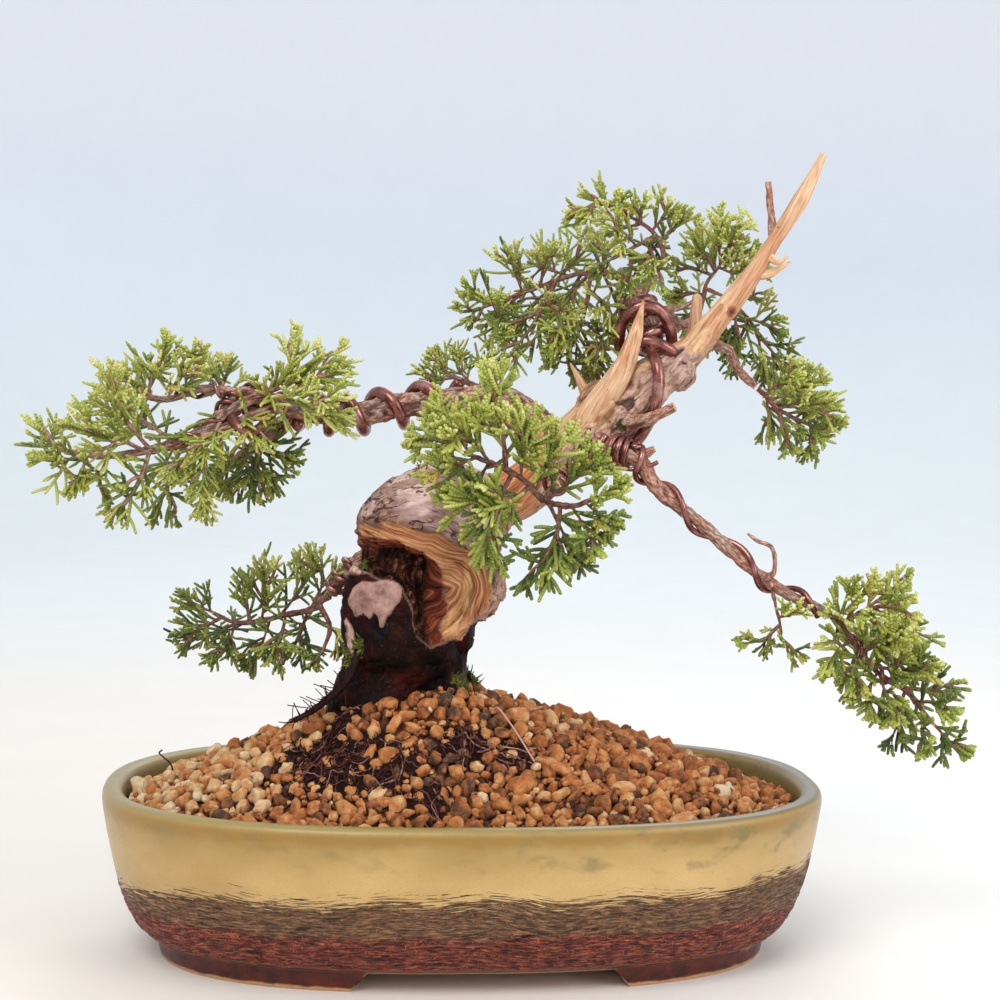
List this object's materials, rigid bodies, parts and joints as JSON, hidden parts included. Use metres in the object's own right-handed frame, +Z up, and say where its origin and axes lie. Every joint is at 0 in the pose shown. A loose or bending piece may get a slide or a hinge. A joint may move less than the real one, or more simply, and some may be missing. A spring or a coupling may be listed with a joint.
{
  "type": "bonsai tree in a pot",
  "caption": "Juniper bonsai with a twisted trunk, bare deadwood, wired branches and scale-leaf pads, in an oval glazed stoneware pot of granular soil.",
  "frame": {"origin": "middle of the whole part's footprint, at the level that the pot's feet stand on", "axes": "+X along the pot's long axis towards the cascading branch, +Y away from the front, +Z up"},
  "size_m": [0.32, 0.1516, 0.2672],
  "materials": {
    "pot": "satin speckled stoneware glaze over rough dark clay",
    "drain_mesh": "moulded plastic mesh",
    "soil": "dry baked-clay granules",
    "wood": "flaking juniper bark and bleached deadwood",
    "wire": "satin copper-brown anodised aluminium",
    "foliage": "waxy scale leaves"
  },
  "bodies": {
    "root": {"pot": "pot", "drain_mesh_left": "drain_mesh", "drain_mesh_right": "drain_mesh", "soil": "soil", "tree": "wood", "wire_left_branch": "wire", "wire_apex": "wire", "wire_right_branch": "wire", "wire_low_branch": "wire", "foliage_left": "foliage", "foliage_low_left": "foliage", "foliage_centre": "foliage", "foliage_crown_left": "foliage", "foliage_crown_top": "foliage", "foliage_crown_right": "foliage", "foliage_right_back": "foliage", "foliage_cascade": "foliage", "foliage_behind": "foliage", "foliage_tuft": "foliage"}
  },
  "joints": []
}
